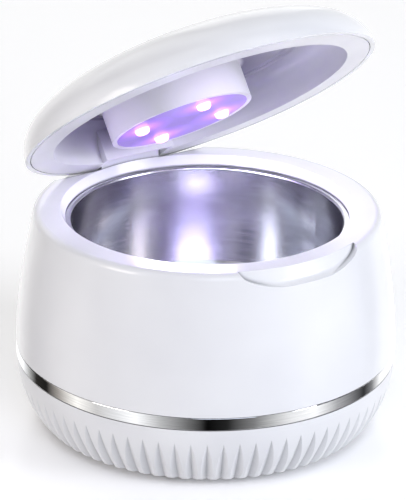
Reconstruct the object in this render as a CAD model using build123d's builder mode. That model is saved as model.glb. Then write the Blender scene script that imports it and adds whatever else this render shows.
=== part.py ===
"""Round ultrasonic retainer cleaner with a lamp lid, standing with its lid open."""
from build123d import *
import math
import os

os.makedirs("parts", exist_ok=True)

# Origin: on the body axis, on the table. +Z up, front (finger scoop) towards -Y, hinge towards +Y.

# Body outline
body_radius = 66.0
foot_gap = 2.6
base_height = 22.1
band_height = 4.8
upper_height = 48.0
shoulder_radius = 59.4
shoulder_round = 2.5
base_foot_radius = 58.4
base_foot_bevel = 0.8
upper_belly = 14.0
shoulder_bow = 3.4
shoulder_reach = 17.0
base_belly = 7.0
base_bow = 5.1
base_reach = 6.1

base_z = foot_gap
band_z = base_z + base_height
upper_z = band_z + band_height
top_z = upper_z + upper_height

# Walls, trim band and the spigot behind it
wall = 2.4
base_wall = 3.0
base_floor = 2.4
band_thickness = 1.25
band_seam = 0.2
band_edge = 0.3
spigot_wall = 1.8
spigot_drop = 3.0
spigot_clearance = 0.1
base_step = 0.1

spigot_radius = body_radius - band_thickness
inner_radius = spigot_radius - spigot_wall

# Mouth, seal and tank
mouth_radius = 50.3
lip_radius = 48.7
lip_drop = 3.1
seal_thickness = 0.5
seal_radius = 49.2
tank_wall = 0.8
tank_radius = 46.6
tank_draft = 0.9
tank_depth = 39.9
tank_corner = 9.0
tank_rim_round = 1.0
flange_radius = 51.2
flange_clearance = 0.4
clamp_thickness = 2.5
clamp_clearance = 0.4
clamp_width = 8.2

lip_z = top_z - lip_drop
flange_z = lip_z - seal_thickness
clamp_z = flange_z - tank_wall
tank_floor_z = flange_z - tank_depth
tank_under_z = tank_floor_z - tank_wall
seat_radius = flange_radius + flange_clearance
clamp_inner = tank_radius + tank_wall + clamp_clearance
clamp_outer = clamp_inner + clamp_width

# Finger scoop in the front of the top edge
scoop_half_angle = 30.0
scoop_half_width = 23.4
scoop_start = 56.9
scoop_back = 58.4
scoop_drop = 6.2
scoop_fall = 0.7
scoop_round = 2.6

# Flutes round the foot of the base
flute_count = 76
flute_start = 0.2
flute_middle = 0.6
flute_width = 3.6
flute_depth = 1.3
flute_slope = 0.62
flute_lead_in = 8.0

# Lid and hinge
lid_radius = 62.5
lid_height = 21.7
lid_wall = 2.2
lid_rim_wall = 1.7
dome_fullness = 0.678
lid_gap = 0.5
lid_open_angle = 37.5
lid_stop_angle = 44.0
hinge_y = 53.0
hinge_rise = 10.0
pin_radius = 1.25
pin_clearance = 0.05
knuckle_radius = 2.2
knuckle_clearance = 0.4
knuckle_half = 6.5
column_back = 1.2
washer_thickness = 0.5
washer_gap = 0.1
ear_thickness = 3.0
barrel_radius = 3.9
slot_lift = 0.5
bar_half = 12.0
bar_height = 3.5
bar_depth = 5.4
bar_skin = 0.8
bar_edge = 0.5
bar_round = 0.6
pin_end_bevel = 0.3
hinge_clearance = 0.6
window_drop = 1.5
trough_clearance = 0.45
trough_half = 31.0

rim_z = top_z + lid_gap
hinge_z = rim_z + hinge_rise
window_half = bar_half + hinge_clearance
ear_inner = knuckle_half + washer_thickness + 2 * washer_gap

# Lid liner, lamp boss and lamps
liner_seam = 0.25
liner_wall = 1.6
cavity_radius = 52.6
cavity_draft = 0.6
cavity_depth = 12.8
cavity_round = 8.0
bead_radii = (37.5, 41.5)
bead_width = 1.2
bead_height = 0.6
pocket_wall = 1.4
boss_radius = 25.2
boss_offset = 14.4
cover_gap = 0.2
cover_thickness = 1.6
lamp_count = 4
lamp_circle = 16.3
lamp_radius = 2.5
lamp_dome = 1.4
lamp_flange = 0.4
lamp_dome_round = 1.33
lamp_post_radius = 1.8
lamp_clearance = 0.15
lamp_board_radius = 21.0
lamp_board_z = 4.2
board_thickness = 1.2
liner_screw_circle = 10.0
liner_post_radius = 3.0
liner_screw_count = 3
liner_screw_bite = 4.0
magnet_radius = 2.0
magnet_height = 2.4
magnet_seat = 0.7
magnet_seat_height = 1.0
magnet_clearance = 0.05
magnet_circle = 57.3
bar_front = math.sqrt((mouth_radius + bar_edge) ** 2 - bar_half**2)
pocket_front = bar_front - hinge_clearance - pocket_wall

# Fasteners
screw_radius = 1.25
screw_head_radius = 2.3
screw_head_height = 1.6
screw_hole_clearance = 0.2
screw_end_gap = 1.0
slot_length = 1.2
slot_width = 0.3
slot_depth = 0.6
small_screw_radius = 1.0
small_head_radius = 1.8
small_head_height = 1.2
closing_screw_circle = 52.0
closing_boss_radius = 3.6
closing_base_radius = 4.6
closing_screw_count = 4
closing_split_z = 19.0
closing_boss_top = 42.0
closing_screw_grip = 12.0
closing_head_recess = 9.0
clamp_screw_count = 6
clamp_screw_bite = 2.0
clamp_pilot_depth = 3.1
clamp_screw_circle = (seat_radius + clamp_outer) / 2

# Feet
foot_count = 4
foot_circle = 43.0
foot_radius = 5.5
foot_recess = 1.2
foot_clearance = 0.1
foot_bevel = 0.6

# Vents in the base's floor
vent_columns = 2
vent_rows = 5
vent_column_pitch = 24.0
vent_row_pitch = 5.0
vent_length = 18.0
vent_width = 2.2

# Parts in the base
driver_length = 76.0
driver_width = 54.0
driver_z = 11.0
driver_thickness = 1.6
driver_corner = 3.0
driver_screw_bite = 4.0
standoff_x = 33.0
standoff_y = 22.0
standoff_radius = 3.0
piezo_radius = 22.0
piezo_thickness = 2.8
piezo_bevel = 0.4
transformer_x = -18.0
transformer_y = 6.0
core_length = 20.0
core_width = 6.0
core_height = 13.5
core_leg = 3.0
winding_proud = 3.0
transformer_foot = 1.6
winding_round = 0.8
sink_x = 24.0
sink_y = -8.0
sink_length = 24.0
sink_height = 16.0
sink_thickness = 2.0
fin_count = 6
fin_depth = 6.0
fin_thickness = 1.2
transistor_width = 10.0
transistor_depth = 4.5
transistor_body = 9.0
transistor_tab = 14.0
transistor_tab_depth = 1.3
transistor_rise = 3.0
leg_pitch = 2.54
leg_width = 0.9
leg_depth = 0.6
leg_offset = 2.2
can_radius = 4.0
can_height = 12.0
can_round = 0.6
can_places = ((-6.0, -17.0), (3.5, -17.0))
film_length = 13.0
film_width = 5.0
film_height = 9.5
film_places = ((-24.0, -13.0), (6.0, 20.0))
choke_place = (8.0, 4.0)
choke_radius = 4.6
choke_width = 3.6
choke_height = 6.0
choke_round = 1.4
socket_length = 5.0
socket_width = 7.5
socket_height = 6.0
piezo_socket = (-33.0, -6.0)
jack_socket = (22.0, 20.0)
lead_radius = 0.7
lead_pitch = 1.4
piezo_lead_x = -15.0
piezo_lead_y = -6.0
piezo_lead_bend = 3.0
jack_lead_bend = 2.0
jack_lead_back = 8.0
jack_lead_rise = 5.0
jack_lead_over = 10.0
jack_tag_x = 2.6
jack_tag_width = 1.6
jack_tag_length = 3.0
jack_tag_thickness = 0.6

# Power inlet at the rear of the base
jack_z = 13.6
jack_boss_radius = 6.6
jack_recess_radius = 5.4
jack_boss_back = 2.0
jack_seat_depth = 6.0
jack_face_y = 60.0
jack_front = 2.0
jack_width = 9.0
jack_height = 11.0
jack_depth = 13.5
jack_bore_radius = 2.9
jack_bore_depth = 9.5
jack_pin_radius = 1.05
jack_pin_recess = 0.8
jack_hole_radius = 3.4
jack_clearance = 0.15

# Power button at the rear of the upper housing
button_z = 46.0
button_radius = 6.0
button_clearance = 0.25
button_face_drop = 0.5
button_round = 1.0
button_travel = 0.8
button_flange = 1.2
button_flange_height = 1.2
button_flange_gap = 0.3
button_seat_drop = 2.2
stem_radius = 1.7
stem_depth = 0.8
switch_size = 6.0
switch_height = 3.6
switch_play = 0.3
button_board_width = 27.0
button_board_height = 13.0
button_board_corner = 1.5
button_post_x = 10.6
button_post_radius = 2.0
button_pilot_depth = 6.0
button_board_gap = 12.0
button_back_y = inner_radius - button_board_gap
button_seat_y = inner_radius - button_seat_drop

# Lid sensor under the front of the clamp ring
sensor_board_length = 18.0
sensor_board_width = 6.0
sensor_tube_half = 6.0
sensor_tube_radius = 1.2
sensor_tube_drop = 1.0


def radial_plane(bearing):
    """Upright plane through the body axis whose x points outward at this bearing in degrees."""
    turn = math.radians(bearing)
    outward = (math.cos(turn), math.sin(turn), 0)
    return Plane(origin=(0, 0, 0), x_dir=outward, z_dir=(math.sin(turn), -math.cos(turn), 0))


def lid_frame(angle):
    """Frame of the lid's rim circle with the lid turned up about its hinge by this angle."""
    turn = math.radians(angle)
    centre_y = hinge_y - hinge_y * math.cos(turn) - hinge_rise * math.sin(turn)
    centre_z = hinge_z + hinge_y * math.sin(turn) - hinge_rise * math.cos(turn)
    upward = (0, math.sin(turn), math.cos(turn))
    return Plane(origin=(0, centre_y, centre_z), x_dir=(1, 0, 0), z_dir=upward)


lid = lid_frame(lid_open_angle)
lid_axis = Axis(lid.origin, lid.z_dir)


def on_lid(plane):
    """The same plane, carried by the open lid."""
    return Plane(lid.location * plane.location)


def upper_side(radius, low_z, end_radius, high_z):
    """Side line of the upper housing, upright at the band and drawn in to the shoulder."""
    pull = (end_radius + shoulder_bow, high_z - shoulder_reach)
    return Bezier((radius, low_z), (radius, low_z + upper_belly), pull, (end_radius, high_z))


def base_side(radius, high_z, end_radius, low_z):
    """Side line of the base, upright at the band and drawn in to the foot."""
    pull = (end_radius + base_bow, low_z + base_reach)
    return Bezier((radius, high_z), (radius, high_z - base_belly), pull, (end_radius, low_z))


def dome_line(radius, height):
    """Quarter outline of the lid's dome, from its rim up to its crown."""
    side = (radius, height * dome_fullness)
    crown = (radius * dome_fullness, height)
    return Bezier((radius, 0), side, crown, (0, height))


def pan_screw(length, radius, head_radius, head_height):
    """Pan-head screw along Z: the head ends at z = 0 and the shank rises from there."""
    with BuildPart() as screw:
        with BuildSketch(Plane.XY.offset(-head_height)):
            Circle(head_radius)
        extrude(amount=head_height)
        with BuildSketch():
            Circle(radius)
        extrude(amount=length)
        with BuildSketch(Plane.XY.offset(-head_height)):
            Rectangle(head_radius * slot_length, head_radius * slot_width)
            Rectangle(head_radius * slot_width, head_radius * slot_length)
        extrude(amount=head_height * slot_depth, mode=Mode.SUBTRACT)
    return screw.part


def lead(path_points, bend):
    """Round insulated wire along straight runs joined by arcs."""
    with BuildPart() as wire:
        with BuildLine() as route:
            FilletPolyline(*path_points, radius=bend)
        with BuildSketch(Plane(origin=route.line @ 0, z_dir=route.line % 0)):
            Circle(lead_radius)
        sweep(path=route.line)
    return wire.part


# Scoop cutter: the ledge's section swept round the front, kept within an ellipse at the top edge
with BuildPart() as scoop_cutter:
    with BuildSketch(radial_plane(-90 - scoop_half_angle)):
        with BuildLine():
            FilletPolyline(
                (scoop_start, top_z + lid_gap),
                (scoop_start, top_z),
                (scoop_back, top_z - scoop_drop + scoop_fall),
                (body_radius, top_z - scoop_drop),
                radius=scoop_round,
            )
            Polyline(
                (body_radius, top_z - scoop_drop),
                (body_radius, top_z + lid_gap),
                (scoop_start, top_z + lid_gap),
            )
        make_face()
    revolve(axis=Axis.Z, revolution_arc=2 * scoop_half_angle)
    with BuildSketch(Plane.XZ):
        with Locations((0, top_z)):
            Ellipse(scoop_half_width, scoop_drop)
    extrude(amount=body_radius, mode=Mode.INTERSECT)

# Upper housing: outer side, top face, mouth with its drafted lip, seat for the tank, spigot
with BuildPart() as upper_housing:
    with BuildSketch(Plane.XZ):
        with BuildLine():
            outer = upper_side(body_radius, upper_z, shoulder_radius, top_z)
            under = Polyline(
                outer @ 1,
                (mouth_radius, top_z),
                (lip_radius, lip_z),
                (seat_radius, lip_z),
                (seat_radius, clamp_z),
                (clamp_outer + clamp_clearance, clamp_z),
            )
            inner = upper_side(inner_radius, upper_z, clamp_outer + clamp_clearance, clamp_z)
            Polyline(
                inner @ 0,
                (inner_radius, band_z - spigot_drop),
                (spigot_radius, band_z - spigot_drop),
                (spigot_radius, upper_z),
                outer @ 0,
            )
        make_face()
    revolve(axis=Axis.Z)
    rims = upper_housing.edges().filter_by_position(Axis.Z, top_z - 0.01, top_z + 0.01)
    fillet(rims.sort_by(SortBy.LENGTH)[-1], radius=shoulder_round)

    # finger scoop: a steep back wall and a ledge, within an ellipse seen from the front
    add(scoop_cutter.part, mode=Mode.SUBTRACT)

    # troughs beside the hinge that the lid's rear rim dips into, sloped like the rim at its stop
    rim_reach = math.sqrt(lid_radius**2 - window_half**2) - hinge_y
    trough_radius = math.hypot(rim_reach, hinge_rise) + trough_clearance
    trough_length = trough_half - window_half + trough_clearance
    trough_middle = window_half - trough_clearance + trough_length / 2
    trough_slope = hinge_rise + trough_clearance
    stop_turn = math.radians(lid_stop_angle)
    slope_foot = (hinge_y - trough_slope * math.sin(stop_turn), hinge_z - trough_slope * math.cos(stop_turn))
    for side in (-1, 1):
        with BuildSketch(Plane.YZ.offset(side * trough_middle)):
            with Locations((hinge_y, hinge_z)):
                Circle(trough_radius)
            with Locations(slope_foot):
                Rectangle(
                    trough_radius * 4,
                    trough_radius * 4,
                    rotation=-lid_stop_angle,
                    align=(Align.CENTER, Align.MIN),
                    mode=Mode.INTERSECT,
                )
        extrude(amount=trough_length / 2, both=True, mode=Mode.SUBTRACT)

    # screw columns and their webs to the side wall
    for turn in range(closing_screw_count):
        bearing = 45 + turn * 360 / closing_screw_count
        with BuildSketch(Plane.XY.offset(closing_split_z)):
            with PolarLocations(closing_screw_circle, 1, start_angle=bearing):
                Circle(closing_boss_radius)
        extrude(amount=closing_boss_top - closing_split_z)
        with BuildSketch(radial_plane(bearing)):
            with BuildLine():
                Polyline(
                    (closing_screw_circle, upper_z),
                    (inner_radius + wall / 2, upper_z),
                    (inner_radius + wall / 2, closing_boss_top),
                    (closing_screw_circle, closing_boss_top),
                    close=True,
                )
            make_face()
        extrude(amount=wall / 2, both=True)
        with BuildSketch(Plane.XY.offset(closing_split_z)):
            with PolarLocations(closing_screw_circle, 1, start_angle=bearing):
                Circle(screw_radius)
        extrude(amount=closing_screw_grip, mode=Mode.SUBTRACT)

    # pilot holes for the clamp ring and the hinge block's screw holes with their head recesses
    with BuildSketch(Plane.XY.offset(clamp_z)):
        with PolarLocations(clamp_screw_circle, clamp_screw_count):
            Circle(small_screw_radius)
    extrude(amount=clamp_pilot_depth, mode=Mode.SUBTRACT)
    hinge_screw_x = bar_half - small_head_radius - bar_round
    hinge_screw_y = math.sqrt(clamp_screw_circle**2 - hinge_screw_x**2)
    with BuildSketch(Plane.XY.offset(clamp_z)):
        with Locations((-hinge_screw_x, hinge_screw_y), (hinge_screw_x, hinge_screw_y)):
            Circle(small_head_radius + screw_hole_clearance)
    extrude(amount=small_head_height, mode=Mode.SUBTRACT)
    with BuildSketch(Plane.XY.offset(clamp_z)):
        with Locations((-hinge_screw_x, hinge_screw_y), (hinge_screw_x, hinge_screw_y)):
            Circle(small_screw_radius + screw_hole_clearance)
    extrude(amount=top_z - clamp_z, mode=Mode.SUBTRACT)

    # posts for the button board, then the button's hole
    side_at_button = math.sqrt(inner_radius**2 - button_post_x**2)
    with BuildSketch(Plane.XZ.offset(-button_back_y)):
        with Locations((-button_post_x, button_z), (button_post_x, button_z)):
            Circle(button_post_radius)
    extrude(amount=-(side_at_button - button_back_y))
    with BuildSketch(Plane.XZ.offset(-button_back_y)):
        with Locations((-button_post_x, button_z), (button_post_x, button_z)):
            Circle(small_screw_radius)
    extrude(amount=-button_pilot_depth, mode=Mode.SUBTRACT)
    with BuildSketch(Plane.XZ.offset(-button_back_y)):
        with Locations((0, button_z)):
            Circle(button_radius + button_clearance)
    extrude(amount=-(body_radius - button_back_y), mode=Mode.SUBTRACT)
    with BuildSketch(Plane.XZ.offset(-button_back_y)):
        with Locations((0, button_z)):
            Circle(button_radius + button_flange + button_clearance)
    extrude(amount=-(button_seat_y - button_back_y), mode=Mode.SUBTRACT)
upper_housing.part.label = "upper_housing"
export_step(upper_housing.part, "parts/upper_housing.step")

# Trim band: a bright ring between the two housings
with BuildPart() as trim_band:
    with BuildSketch(Plane.XZ):
        with Locations((body_radius, band_z + band_seam)):
            Rectangle(
                band_thickness - spigot_clearance / 2,
                band_height - 2 * band_seam,
                align=(Align.MAX, Align.MIN),
            )
    revolve(axis=Axis.Z)
    outer_edges = trim_band.edges().sort_by(SortBy.LENGTH)[-2:]
    fillet(outer_edges, radius=band_edge)
trim_band.part.label = "trim_band"
export_step(trim_band.part, "parts/trim_band.step")

# Flute cutter: a V bar bent to an arc that enters the side at the flutes' top and stays sunk to the foot
with BuildPart() as flute_cutter:
    with BuildLine():
        outline = base_side(body_radius, band_z, base_foot_radius, base_z + base_foot_bevel)
    with BuildLine():
        groove = ThreePointArc(
            outline @ flute_start,
            (outline @ flute_middle) - Vector(flute_depth, 0),
            (outline @ 1) - Vector(flute_depth, 0),
        )
    middle = groove.arc_center
    bend = Axis((middle.X, 0, middle.Y), (0, 1, 0))
    start = (groove @ 0) - middle
    entry = math.atan2(start.Y, start.X) + math.radians(flute_lead_in)
    outward = Vector(math.cos(entry), 0, math.sin(entry))
    onward = Vector(math.sin(entry), 0, -math.cos(entry))
    origin = Vector(middle.X, 0, middle.Y) + outward * groove.radius
    with BuildSketch(Plane(origin=origin, x_dir=(0, 1, 0), z_dir=onward)):
        with BuildLine():
            Polyline(
                (0, 0),
                (flute_width, flute_width * flute_slope),
                (-flute_width, flute_width * flute_slope),
                close=True,
            )
        make_face()
    revolve(axis=bend, revolution_arc=math.degrees(groove.length / groove.radius) + 2 * flute_lead_in)

# Base: fluted bowl with columns, standoffs, vents and the inlet's boss
with BuildPart() as base_shell:
    with BuildSketch(Plane.XZ):
        with BuildLine():
            rebate_z = band_z - spigot_drop - spigot_clearance
            rebate_radius = spigot_radius + spigot_clearance
            floor_z = base_z + base_floor
            floor_radius = base_foot_radius - base_wall
            outer = base_side(body_radius - base_step, band_z, base_foot_radius, base_z + base_foot_bevel)
            Polyline(
                outer @ 1,
                (base_foot_radius - base_foot_bevel, base_z),
                (0, base_z),
                (0, floor_z),
                (floor_radius, floor_z),
            )
            inner = base_side(body_radius - base_wall, rebate_z, floor_radius, floor_z)
            Polyline(inner @ 0, (rebate_radius, rebate_z), (rebate_radius, band_z), outer @ 0)
        make_face()
    revolve(axis=Axis.Z)
    with PolarLocations(0, flute_count):
        add(flute_cutter.part, mode=Mode.SUBTRACT)

    # closing columns with head recesses from below
    with BuildSketch(Plane.XY.offset(floor_z)):
        with PolarLocations(closing_screw_circle, closing_screw_count, start_angle=45):
            Circle(closing_base_radius)
    extrude(amount=closing_split_z - spigot_clearance - floor_z)
    with BuildSketch(Plane.XY.offset(base_z)):
        with PolarLocations(closing_screw_circle, closing_screw_count, start_angle=45):
            Circle(screw_head_radius + screw_hole_clearance)
    extrude(amount=closing_head_recess, mode=Mode.SUBTRACT)
    with BuildSketch(Plane.XY.offset(base_z)):
        with PolarLocations(closing_screw_circle, closing_screw_count, start_angle=45):
            Circle(screw_radius + screw_hole_clearance)
    extrude(amount=closing_split_z - base_z, mode=Mode.SUBTRACT)

    # standoffs for the driver board
    with BuildSketch(Plane.XY.offset(floor_z)):
        with GridLocations(2 * standoff_x, 2 * standoff_y, 2, 2):
            Circle(standoff_radius)
    extrude(amount=driver_z - floor_z)
    with BuildSketch(Plane.XY.offset(floor_z)):
        with GridLocations(2 * standoff_x, 2 * standoff_y, 2, 2):
            Circle(small_screw_radius)
    extrude(amount=driver_z - floor_z, mode=Mode.SUBTRACT)

    # vents and foot recesses
    with BuildSketch(Plane.XY.offset(base_z)):
        with GridLocations(vent_column_pitch, vent_row_pitch, vent_columns, vent_rows):
            SlotOverall(vent_length, vent_width)
    extrude(amount=base_floor, mode=Mode.SUBTRACT)
    with BuildSketch(Plane.XY.offset(base_z)):
        with PolarLocations(foot_circle, foot_count):
            Circle(foot_radius + foot_clearance)
    extrude(amount=foot_recess, mode=Mode.SUBTRACT)

    # inlet boss, the recess outside it, its seat for the jack and the plug's hole
    with BuildSketch(Plane.XZ.offset(-jack_face_y)):
        with Locations((0, jack_z)):
            Circle(jack_boss_radius)
    extrude(amount=jack_front + jack_boss_back)
    with BuildSketch(Plane.XZ.offset(-jack_face_y)):
        with Locations((0, jack_z)):
            Circle(jack_recess_radius)
    extrude(amount=-(body_radius - jack_face_y), mode=Mode.SUBTRACT)
    with BuildSketch(Plane.XZ.offset(-(jack_face_y - jack_front))):
        with Locations((0, jack_z)):
            Rectangle(jack_width + 2 * jack_clearance, jack_height + 2 * jack_clearance)
    extrude(amount=jack_seat_depth, mode=Mode.SUBTRACT)
    with BuildSketch(Plane.XZ.offset(-jack_face_y)):
        with Locations((0, jack_z)):
            Circle(jack_hole_radius)
    extrude(amount=jack_front, mode=Mode.SUBTRACT)
base_shell.part.label = "base_shell"
export_step(base_shell.part, "parts/base_shell.step")

# Feet: soft discs seated in the base's recesses
with BuildPart() as rubber_feet:
    with BuildSketch():
        with PolarLocations(foot_circle, foot_count):
            Circle(foot_radius)
    extrude(amount=foot_gap + foot_recess)
    chamfer(rubber_feet.edges().group_by(Axis.Z)[0], length=foot_bevel)
rubber_feet.part.label = "rubber_feet"
export_step(rubber_feet.part, "parts/rubber_feet.step")

# Closing screws, driven up through the base into the upper housing's columns
closing_length = closing_split_z + closing_screw_grip - screw_end_gap - base_z - closing_head_recess
with BuildPart() as base_screws:
    with PolarLocations(closing_screw_circle, closing_screw_count, start_angle=45):
        with Locations((0, 0, base_z + closing_head_recess)):
            add(pan_screw(closing_length, screw_radius, screw_head_radius, screw_head_height))
base_screws.part.label = "base_screws"
export_step(base_screws.part, "parts/base_screws.step")

# Tank: deep-drawn steel bowl with a rolled rim and a flat flange
with BuildPart() as tank:
    with BuildSketch(Plane.XZ):
        with BuildLine() as tank_line:
            Polyline(
                (0, tank_floor_z),
                (tank_radius - tank_draft, tank_floor_z),
                (tank_radius, flange_z),
                (flange_radius, flange_z),
                (flange_radius, flange_z - tank_wall),
                (tank_radius + tank_wall, flange_z - tank_wall),
                (tank_radius - tank_draft + tank_wall, tank_under_z),
                (0, tank_under_z),
                close=True,
            )
        tank_face = make_face()
        floor_corner = tank_face.vertices().sort_by_distance((tank_radius - tank_draft, 0, tank_floor_z))[0]
        fillet(floor_corner, radius=tank_corner)
        under_corner = tank_face.vertices().sort_by_distance((tank_radius + tank_wall, 0, tank_under_z))[0]
        fillet(under_corner, radius=tank_corner + tank_wall)
    revolve(axis=Axis.Z)
    flange_edges = tank.edges().filter_by_position(Axis.Z, flange_z - 0.01, flange_z + 0.01)
    fillet(flange_edges.sort_by(SortBy.LENGTH)[0], radius=tank_rim_round)
tank.part.label = "tank"
export_step(tank.part, "parts/tank.step")

# Tank seal: a flat silicone ring between the flange and the lip
with BuildPart() as tank_seal:
    with BuildSketch(Plane.XY.offset(flange_z)):
        Circle(flange_radius)
        Circle(seal_radius, mode=Mode.SUBTRACT)
    extrude(amount=seal_thickness)
tank_seal.part.label = "tank_seal"
export_step(tank_seal.part, "parts/tank_seal.step")

# Clamp ring that holds the flange up against the seal, with its screws
clamp_under_z = clamp_z - clamp_thickness
with BuildPart() as clamp_ring:
    with BuildSketch(Plane.XY.offset(clamp_under_z)):
        Circle(clamp_outer)
        Circle(clamp_inner, mode=Mode.SUBTRACT)
        with PolarLocations(clamp_screw_circle, clamp_screw_count):
            Circle(small_screw_radius + screw_hole_clearance, mode=Mode.SUBTRACT)
    extrude(amount=clamp_thickness)
clamp_ring.part.label = "clamp_ring"
export_step(clamp_ring.part, "parts/clamp_ring.step")

small_screw_length = clamp_thickness + clamp_screw_bite
small_screw = pan_screw(small_screw_length, small_screw_radius, small_head_radius, small_head_height)
with BuildPart() as clamp_screws:
    with PolarLocations(clamp_screw_circle, clamp_screw_count):
        with Locations((0, 0, clamp_under_z)):
            add(small_screw)
clamp_screws.part.label = "clamp_screws"
export_step(clamp_screws.part, "parts/clamp_screws.step")

# Piezo disc bonded under the tank's floor
piezo_z = tank_under_z - piezo_thickness
with BuildPart() as piezo_disc:
    with BuildSketch(Plane.XY.offset(piezo_z)):
        Circle(piezo_radius)
    extrude(amount=piezo_thickness)
    chamfer(piezo_disc.edges().group_by(Axis.Z)[0], length=piezo_bevel)
piezo_disc.part.label = "piezo_disc"
export_step(piezo_disc.part, "parts/piezo_disc.step")

# Driver board and its screws
board_top_z = driver_z + driver_thickness
with BuildPart() as driver_board:
    with BuildSketch(Plane.XY.offset(driver_z)):
        RectangleRounded(driver_length, driver_width, driver_corner)
        with GridLocations(2 * standoff_x, 2 * standoff_y, 2, 2):
            Circle(small_screw_radius + screw_hole_clearance, mode=Mode.SUBTRACT)
    extrude(amount=driver_thickness)
driver_board.part.label = "driver_board"
export_step(driver_board.part, "parts/driver_board.step")

board_screw_length = driver_thickness + driver_screw_bite
board_screw = pan_screw(board_screw_length, small_screw_radius, small_head_radius, small_head_height)
with BuildPart() as board_screws:
    with GridLocations(2 * standoff_x, 2 * standoff_y, 2, 2):
        with Locations(Location((0, 0, board_top_z), (180, 0, 0))):
            add(board_screw)
board_screws.part.label = "board_screws"
export_step(board_screws.part, "parts/board_screws.step")

# Transformer: ferrite core round a wound bobbin
with BuildPart() as transformer:
    with Locations((transformer_x, transformer_y, board_top_z)):
        Box(core_length, core_width, core_height, align=(Align.CENTER, Align.CENTER, Align.MIN))
    with BuildSketch(Plane.XZ.offset(-transformer_y)):
        with Locations((transformer_x, board_top_z + core_height / 2)):
            Rectangle(core_length - 2 * core_leg, core_height - 2 * core_leg)
    extrude(amount=core_width, both=True, mode=Mode.SUBTRACT)
    with Locations((transformer_x, transformer_y, board_top_z + core_leg)):
        Box(
            core_length - 2 * core_leg,
            core_width + 2 * winding_proud,
            core_height - 2 * core_leg,
            align=(Align.CENTER, Align.CENTER, Align.MIN),
        )
    with Locations((transformer_x, transformer_y, board_top_z)):
        with GridLocations(core_length / 2, core_width + winding_proud, 2, 2):
            Box(core_leg, transformer_foot, core_leg, align=(Align.CENTER, Align.CENTER, Align.MIN))
    fillet(transformer.edges().filter_by(Axis.Z).group_by(Axis.Y)[0], radius=winding_round)
transformer.part.label = "transformer"
export_step(transformer.part, "parts/transformer.step")

# Heat sink with fins, and the power transistor bolted to its face
with BuildPart() as heat_sink:
    with Locations((sink_x, sink_y, board_top_z)):
        Box(sink_thickness, sink_length, sink_height, align=(Align.MIN, Align.CENTER, Align.MIN))
    with Locations((sink_x + sink_thickness, sink_y, board_top_z)):
        with GridLocations(0, sink_length / fin_count, 1, fin_count):
            Box(fin_depth, fin_thickness, sink_height, align=(Align.MIN, Align.CENTER, Align.MIN))
heat_sink.part.label = "heat_sink"
export_step(heat_sink.part, "parts/heat_sink.step")

with BuildPart() as power_transistor:
    on_face = (Align.MAX, Align.CENTER, Align.MIN)
    with Locations((sink_x, sink_y, board_top_z + transistor_rise)):
        Box(transistor_depth, transistor_width, transistor_body, align=on_face)
        Box(transistor_tab_depth, transistor_width, transistor_tab, align=on_face)
    with Locations((sink_x - leg_offset, sink_y, board_top_z)):
        with GridLocations(0, leg_pitch, 1, 3):
            Box(leg_depth, leg_width, transistor_rise, align=(Align.CENTER, Align.CENTER, Align.MIN))
power_transistor.part.label = "power_transistor"
export_step(power_transistor.part, "parts/power_transistor.step")

# Capacitors: two electrolytic cans and two film boxes
with BuildPart() as capacitors:
    with BuildSketch(Plane.XY.offset(board_top_z)):
        with Locations(*can_places):
            Circle(can_radius)
    extrude(amount=can_height)
    fillet(capacitors.edges().group_by(Axis.Z)[-1], radius=can_round)
    with Locations(*film_places):
        with Locations((0, 0, board_top_z)):
            Box(film_length, film_width, film_height, align=(Align.CENTER, Align.CENTER, Align.MIN))
capacitors.part.label = "capacitors"
export_step(capacitors.part, "parts/capacitors.step")

# Choke: a wound toroid lying on the board
with BuildPart() as choke:
    with BuildSketch(Plane.XZ.offset(-choke_place[1])):
        with Locations((choke_place[0] + choke_radius, board_top_z + choke_height / 2)):
            RectangleRounded(choke_width, choke_height, choke_round)
    revolve(axis=Axis((choke_place[0], choke_place[1], 0), (0, 0, 1)))
choke.part.label = "choke"
export_step(choke.part, "parts/choke.step")

# Sockets on the board where the leads plug in
with BuildPart() as lead_sockets:
    for place in (piezo_socket, jack_socket):
        with Locations((place[0], place[1], board_top_z)):
            Box(socket_length, socket_width, socket_height, align=(Align.CENTER, Align.CENTER, Align.MIN))
lead_sockets.part.label = "lead_sockets"
export_step(lead_sockets.part, "parts/lead_sockets.step")

# Power inlet: barrel jack with its centre pin, seated behind the inlet boss
jack_seat_y = jack_face_y - jack_front
with BuildPart() as dc_jack:
    with BuildSketch(Plane.XZ.offset(-jack_seat_y)):
        with Locations((0, jack_z)):
            Rectangle(jack_width, jack_height)
    extrude(amount=jack_depth)
    with BuildSketch(Plane.XZ.offset(-jack_seat_y)):
        with Locations((0, jack_z)):
            Circle(jack_bore_radius)
            Circle(jack_pin_radius, mode=Mode.SUBTRACT)
    extrude(amount=jack_bore_depth, mode=Mode.SUBTRACT)
    with BuildSketch(Plane.XZ.offset(-jack_seat_y)):
        with Locations((0, jack_z)):
            Circle(jack_pin_radius)
    extrude(amount=jack_pin_recess, mode=Mode.SUBTRACT)
    with Locations((0, jack_seat_y - jack_depth, jack_z)):
        with GridLocations(2 * jack_tag_x, 0, 2, 1):
            Box(
                jack_tag_width,
                jack_tag_length,
                jack_tag_thickness,
                align=(Align.CENTER, Align.MAX, Align.CENTER),
            )
dc_jack.part.label = "dc_jack"
export_step(dc_jack.part, "parts/dc_jack.step")

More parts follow.
